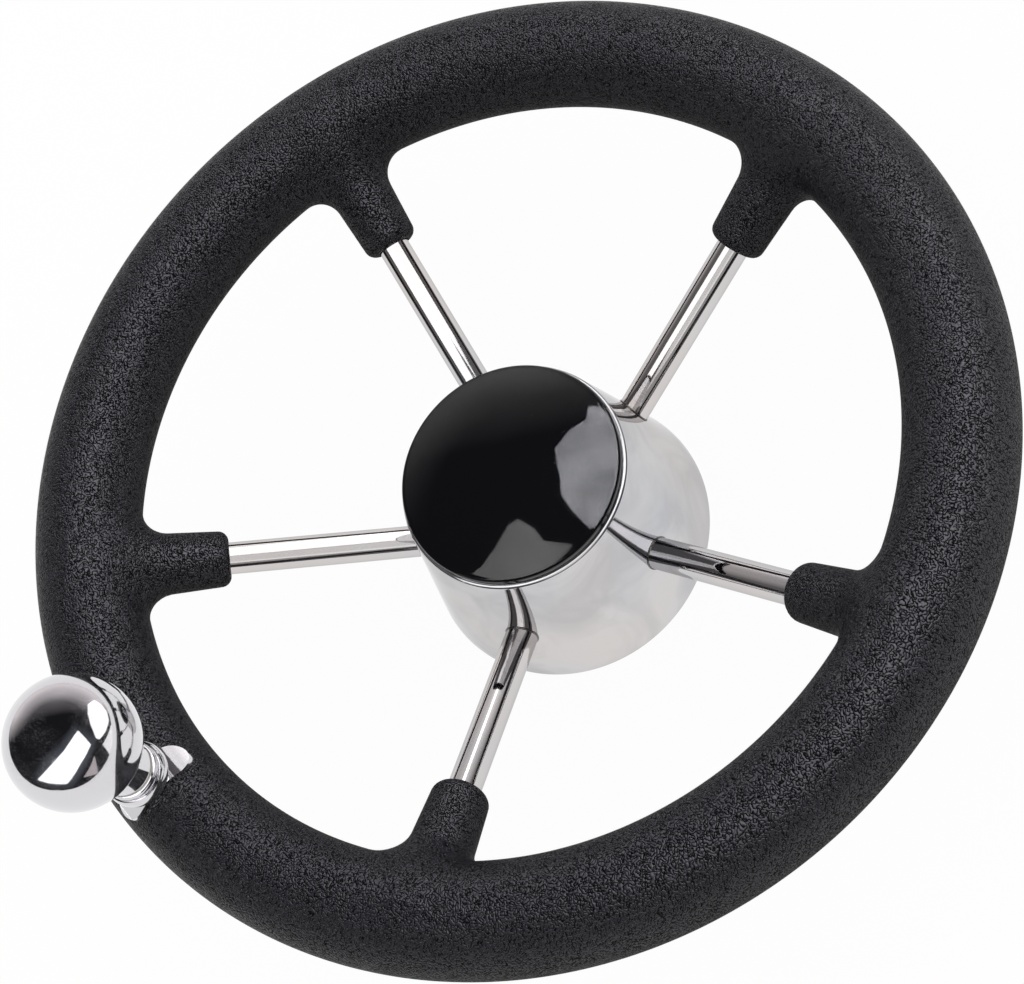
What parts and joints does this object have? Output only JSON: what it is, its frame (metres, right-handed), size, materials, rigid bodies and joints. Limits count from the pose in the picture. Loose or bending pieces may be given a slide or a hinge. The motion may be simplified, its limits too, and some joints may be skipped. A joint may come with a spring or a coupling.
{
  "type": "boat steering wheel",
  "caption": "Dished stainless boat steering wheel with a black foam rim, tube spokes on a flared hub, a domed cap, a tapered keyed shaft bore and a spinning ball knob.",
  "frame": {"origin": "on the shaft axis, in the plane of the hub's back edge", "axes": "+Z along the shaft axis towards the helmsman, +Y along spoke 1, with the knob on the rim close to -Y"},
  "size_m": [0.28, 0.2824, 0.1347],
  "materials": {
    "foam_grip": "black integral-skin foam with a fine leather grain, satin",
    "hub_polish": "mirror-polished stainless steel",
    "spoke_polish": "mirror-polished stainless steel",
    "knob_polish": "mirror-polished stainless steel, with fine handling marks",
    "plain_steel": "plain machined stainless steel",
    "cap_plastic": "high-gloss black moulding",
    "bush_plastic": "natural acetal"
  },
  "bodies": {
    "wheel": {"rim_grip": "foam_grip", "rim_ring": "plain_steel", "hub_shell": "hub_polish", "hub_web": "plain_steel", "shaft_boss": "plain_steel", "shaft_washer": "plain_steel", "shaft_nut": "plain_steel", "centre_cap": "cap_plastic", "knob_saddle": "knob_polish", "knob_back_plate": "knob_polish", "knob_lock_washer": "plain_steel", "knob_bolt": "plain_steel", "knob_spindle": "plain_steel", "spoke_1": "spoke_polish", "spoke_2": "spoke_polish", "spoke_3": "spoke_polish", "spoke_4": "spoke_polish", "spoke_5": "spoke_polish"},
    "knob": {"knob_ball": "knob_polish", "knob_lower_bush": "bush_plastic", "knob_upper_bush": "bush_plastic", "knob_thrust_washer": "plain_steel"}
  },
  "joints": [
    {"name": "knob_spin", "type": "hinge", "parent": "wheel", "child": "knob", "pos_m": [-0.00262, -0.12497, 0.105], "axis": [0, 0, 1], "continuous": true}
  ]
}
